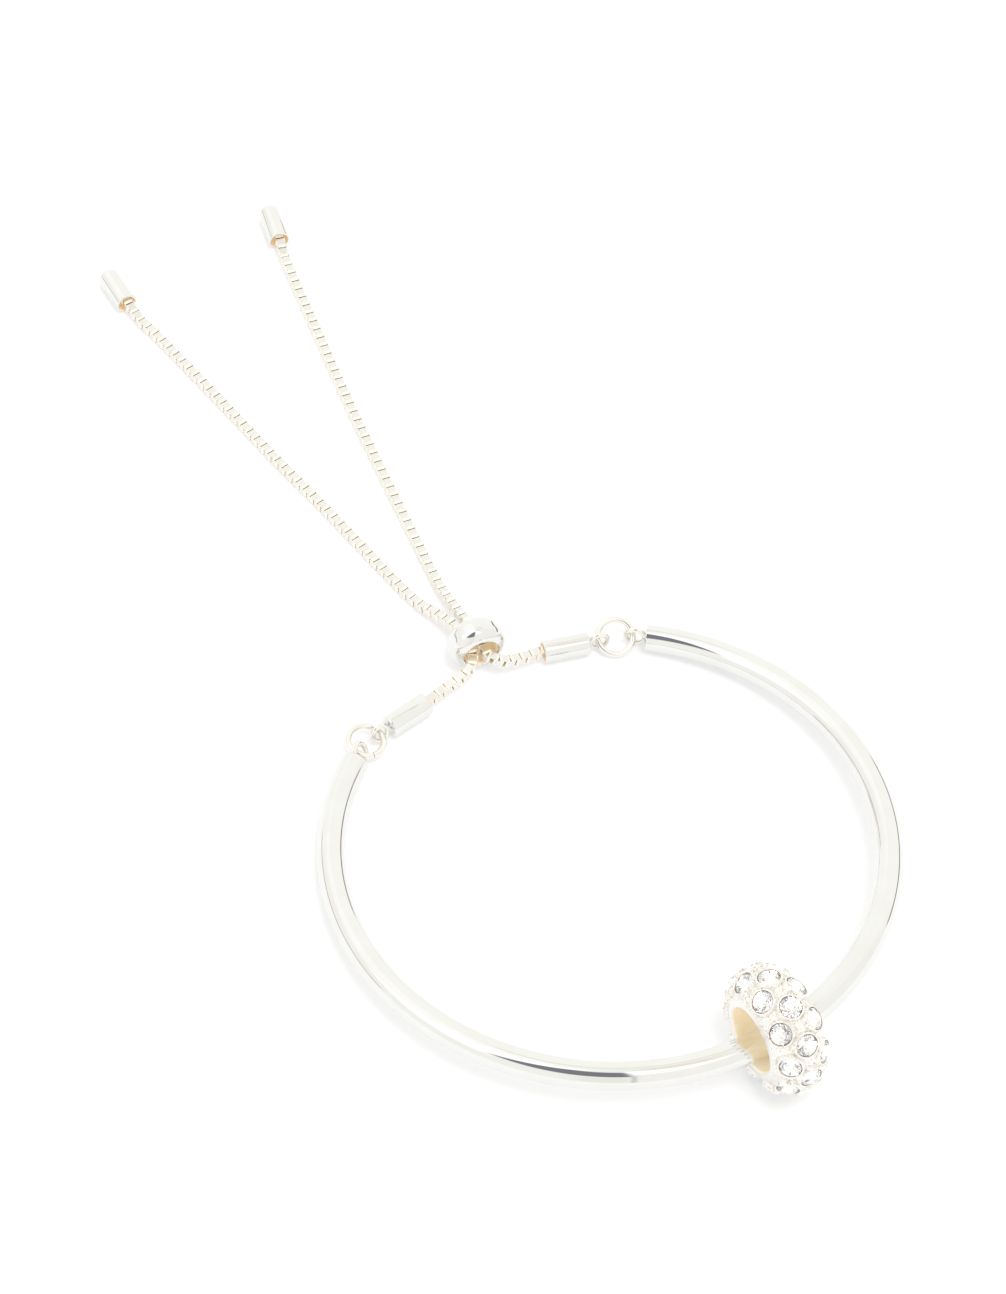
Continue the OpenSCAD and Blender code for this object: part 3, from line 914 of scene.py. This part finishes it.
def add_seats(tree, given, *shapes):
    """Copies of each shape on the seats of the bead: a middle row and a leaning row each side
    of it, half a step apart. A shape's +Z points out of the bead."""
    count = calc(tree, "MULTIPLY", given["Seats in a row"], float(STONE_ROWS))
    seats = add_node(tree, "GeometryNodePoints", {"Count": count}).outputs[0]
    index = add_node(tree, "GeometryNodeInputIndex").outputs[0]
    row = calc(tree, "FLOOR", calc(tree, "DIVIDE", index, given["Seats in a row"]))
    in_row = calc(tree, "SUBTRACT", index, calc(tree, "MULTIPLY", row, given["Seats in a row"]))
    half_step = calc(tree, "MULTIPLY", calc(tree, "COMPARE", row, 1.0), 0.5)
    step = calc(tree, "DIVIDE", 2 * math.pi, given["Seats in a row"])
    along_row = calc(tree, "MULTIPLY", step, calc(tree, "ADD", in_row, half_step))
    tilt = calc(tree, "MULTIPLY", calc(tree, "SUBTRACT", row, 1.0), given["Row tilt"])
    spin = calc(tree, "MULTIPLY", calc(tree, "ADD", index, 1.0), math.radians(STONE_SPIN))
    upright = turned_about(tree, (1, 0, 0), calc(tree, "ADD", given["Row turn"], along_row))
    leaning = turned_about(tree, (0, 1, 0), tilt, upright)
    rotation = turned_about(tree, (0, 0, 1), spin, leaning)
    foot = add_node(tree, "FunctionNodeRotateVector",
                    {"Vector": vector(tree, z=given["Arc radius"]), "Rotation": upright}).outputs[0]
    out = add_node(tree, "FunctionNodeRotateVector",
                   {"Vector": vector(tree, z=given["Reach"]), "Rotation": leaning}).outputs[0]
    placed = add_node(tree, "GeometryNodeSetPosition",
                      {"Geometry": seats, "Position": calc_vector(tree, "ADD", foot, out)}).outputs[0]
    copies = []
    for shape in shapes:
        source = add_node(tree, "GeometryNodeObjectInfo", {"Object": shape}).outputs["Geometry"]
        copies.append(add_node(tree, "GeometryNodeInstanceOnPoints",
                               {"Points": placed, "Instance": source, "Rotation": rotation}).outputs[0])
    return copies


def stones_tree(stone):
    tree, given = new_shape_tree("stones on their seats", SEAT_SIZES)
    end_tree(tree, add_seats(tree, given, stone)[0], *own_finishes(tree, stone))
    return tree


def seated_bead_tree(rim, cutter, smooth, gold):
    """A bead blank with a raised rim round each seat and the seat cut into it, each face in the finish of the
    shape it comes from, so the seats take the cutter's painted shade. The hole is gold, with a painted glow,
    and its mouths are smooth."""
    sizes = SEAT_SIZES | {"Hole radius": BEAD_HOLE_R}
    tree, given = new_shape_tree("bead with seats", sizes, takes_mesh=True)
    rims, cutters = add_seats(tree, given, rim, cutter)
    joined = add_node(tree, "GeometryNodeMeshBoolean", operation="UNION", solver="MANIFOLD")
    tree.links.new(rims, joined.inputs["Mesh 2"])
    tree.links.new(given["Geometry"], joined.inputs["Mesh 2"])
    cut = add_node(tree, "GeometryNodeMeshBoolean", {"Mesh 1": joined.outputs[0]},
                   operation="DIFFERENCE", solver="MANIFOLD")
    tree.links.new(cutters, cut.inputs["Mesh 2"])
    position = add_node(tree, "GeometryNodeInputPosition").outputs[0]
    across = calc_vector(tree, "MULTIPLY", position, (0, 1, 1))
    reach = add_node(tree, "ShaderNodeVectorMath", {0: across}, operation="LENGTH")
    past_hole = calc(tree, "SUBTRACT", reach.outputs["Value"], given["Hole radius"])
    at_mouth = calc(tree, "LESS_THAN", past_hole, BEAD_MOUTH_WIDTH)
    in_hole = calc(tree, "LESS_THAN", past_hole, BEAD_HOLE_MARGIN)
    end_tree(tree, cut.outputs[0], (smooth, at_mouth), (gold, in_hole))
    return tree


def round_stone(crystal, foil):
    """A brilliant: an eight sided table, star, kite and half facets on the crown, a thin
    girdle, and kites and halves on the pavilion, whose faces carry the foil."""
    bm = bmesh.new()
    half_facet = 22.5
    crown_r = 0.5 * (TABLE_R + STONE_R) + STAR_EASE
    low_r = KEEL_SHARE * STONE_R

    def ring(radius, height, first, count):
        made = []
        for n in range(count):
            angle = math.radians(first + 360 * n / count)
            made.append(bm.verts.new((radius * math.cos(angle), radius * math.sin(angle), height)))
        return made

    def slope(inner, outer, radius, top):
        """Height of a main facet at its side corners, which lie on a ring of that radius."""
        return top * (1 - (radius * math.cos(math.radians(half_facet)) - inner) / (outer - inner))

    top = CROWN_HEIGHT - GIRDLE_HALF
    table = ring(TABLE_R, CROWN_HEIGHT, 0, 8)
    stars = ring(crown_r, GIRDLE_HALF + slope(TABLE_R, STONE_R, crown_r, top), half_facet, 8)
    upper = ring(STONE_R, GIRDLE_HALF, 0, 16)
    lower = ring(STONE_R, -GIRDLE_HALF, 0, 16)
    depth = PAVILION_DEPTH - GIRDLE_HALF
    keel_rise = depth * low_r * math.cos(math.radians(half_facet)) / STONE_R
    keel = ring(low_r, -GIRDLE_HALF - depth + keel_rise, half_facet, 8)
    culet = bm.verts.new((0, 0, -PAVILION_DEPTH))
    crown = [bm.faces.new(table)]
    foiled = []
    for n in range(8):
        after = (n + 1) % 8
        main, half, nxt = 2 * n, 2 * n + 1, (2 * n + 2) % 16
        crown.append(bm.faces.new((table[n], stars[n], table[after])))
        crown.append(bm.faces.new((table[n], stars[n - 1], upper[main], stars[n])))
        crown.append(bm.faces.new((stars[n], upper[main], upper[half])))
        crown.append(bm.faces.new((stars[n], upper[half], upper[nxt])))
        crown.append(bm.faces.new((upper[main], lower[main], lower[half], upper[half])))
        crown.append(bm.faces.new((upper[half], lower[half], lower[nxt], upper[nxt])))
        foiled.append(bm.faces.new((keel[n], lower[half], lower[main])))
        foiled.append(bm.faces.new((keel[n], lower[nxt], lower[half])))
        foiled.append(bm.faces.new((culet, keel[n], lower[main], keel[n - 1])))
    for face in foiled:
        face.material_index = 1
    bmesh.ops.recalc_face_normals(bm, faces=bm.faces)
    mesh = bpy.data.meshes.new("round_stone")
    bm.to_mesh(mesh)
    bm.free()
    mesh.materials.append(crystal)
    mesh.materials.append(foil)
    return bpy.data.objects.new("round_stone", mesh)


def make_stones(crystal, foil):
    stone = round_stone(crystal, foil)
    stones = grow(stones_tree(stone), "stones", {}, on_bead())
    stones.data.shade_flat()
    names = [f"stone_{n:02d}" for n in range(1, STONE_ROWS * STONES_IN_ROW + 1)]
    dress(stones, "charm", "clear_stone", *names)
    bpy.data.objects.remove(stone)


def seat_shape(name, outline, finish):
    """A turned shape standing on its seat, from (height, radius) points."""
    mesh = turned(name, outline, SEAT_ROUND_SIDES)
    mesh.transform(turn("Y", -90))
    mesh.materials.append(finish)
    return bpy.data.objects.new(name, mesh)


def make_bead(cast, smooth, gold, seat_shade_finish):
    """The bead without its stones: cast between them, smooth round the mouths of its hole, with a gold hole
    that glows with painted light, and painted shade in the seats: a dark brown on the faces cut round each
    stone."""
    seat_r = STONE_R + SEAT_GAP
    rim_outline = [(-RIM_FOOT, 0), (-RIM_FOOT, RIM_R + RIM_SLANT)]
    rim_outline += arc_points((RIM_HEIGHT - RIM_EDGE, RIM_R - RIM_EDGE), RIM_EDGE, 75, 0, 6)
    rim_outline += [(RIM_HEIGHT, 0)]
    rim = seat_shape("seat_rim", rim_outline, cast)
    cutter_outline = [(-SEAT_DEPTH, 0), (-SEAT_DEPTH, SEAT_FOOT_R), (-SEAT_SHOULDER, seat_r),
                      (RIM_HEIGHT - SEAT_LIP, seat_r), (CUTTER_TOP, seat_r + CUTTER_FLARE), (CUTTER_TOP, 0)]
    # The cutter's finish is painted shade: dark brown on the seat faces round each stone, where the gap
    # between stone and seat lies in shade.
    cutter = seat_shape("seat_cutter", cutter_outline, seat_shade_finish)
    edge = math.degrees(math.asin(BEAD_LIP / BEAD_HALF))
    outline = arc_points((0, BEAD_HOLE_R), BEAD_HALF, edge, 180 - edge, 110)
    outline += hole_lips(BEAD_HOLE_R, BEAD_HALF, BEAD_LIP, BEAD_LIP_ANGLE)
    blank = turned("bead_blank", outline, BEAD_SIDES, closed=True)
    blank.materials.append(cast)
    tree = seated_bead_tree(rim, cutter, smooth, gold)
    bead = grow(tree, "seated_bead", {}, on_bead(), base=blank, sharp=32)
    dress(bead, "charm", "cast_silver", "charm_bead")
    for shape in (rim, cutter):
        bpy.data.objects.remove(shape)


set_camera()
set_floor()
set_light()
tube_silver = plated_silver("tube_silver")
wire_silver = plated_silver("wire_silver", (0.87, 0.855, 0.82, 1), (0.85, 0.825, 0.765, 1), (0.08, 0.16))
sleeve_silver = plated_silver("sleeve_silver")
slider_silver = plated_silver("slider_silver")
link_silver = plated_silver("link_silver", (0.8, 0.802, 0.8, 1), (0.785, 0.783, 0.77, 1), (0.16, 0.28))
# Faint glow on the link gold: painted light standing for light between the links.
link_gilt_painted_glow = pale_gold("link_gilt_painted_glow", (0.94, 0.89, 0.81, 1), (0.88, 0.81, 0.7, 1), 0.08)
# Glow on the mouth gold: painted light standing for light thrown into the sleeves' and caps' mouths.
mouth_gold_painted_glow = pale_gold("mouth_gold_painted_glow", (1.0, 0.88, 0.7, 1), (0.8, 0.6, 0.38, 1), 0.17, 600.0)
# Glow on the slider's hole gold: painted light standing for light thrown into its hole.
slider_gold_painted_glow = pale_gold("slider_gold_painted_glow", (0.98, 0.87, 0.66, 1), (0.88, 0.69, 0.43, 1), 0.11)
# Glow on the bead's hole gold: painted light standing for light thrown into its hole.
hole_gold_painted_glow = pale_gold("hole_gold_painted_glow", (1.0, 0.96, 0.84, 1), (0.88, 0.71, 0.44, 1), 0.16, 320.0)
# Dark brown in the seats: painted shade round each stone, where the gap between stone and seat lies in shade.
seat_painted_shade = pale_gold("seat_painted_shade", (0.6, 0.44, 0.3, 1), (0.42, 0.28, 0.17, 1))
bead_silver = cast_silver("bead_silver")
bead_rim_silver = plated_silver("bead_rim_silver", (0.86, 0.855, 0.83, 1), (0.84, 0.83, 0.8, 1),
                                (0.2, 0.3), 0.004)
wire_rings = wire_ring_tree(wire_silver)
make_bangle(tube_silver, wire_rings)
make_jump_rings(wire_rings)
make_chain_ends(sleeve_silver, mouth_gold_painted_glow, wire_rings)
make_end_caps(sleeve_silver, mouth_gold_painted_glow)
make_slider(slider_silver, slider_gold_painted_glow)
make_chains(link_silver, link_gilt_painted_glow)
make_bead(bead_silver, bead_rim_silver, hole_gold_painted_glow, seat_painted_shade)
make_stones(clear_crystal("clear_crystal"), stone_foil("stone_foil"))
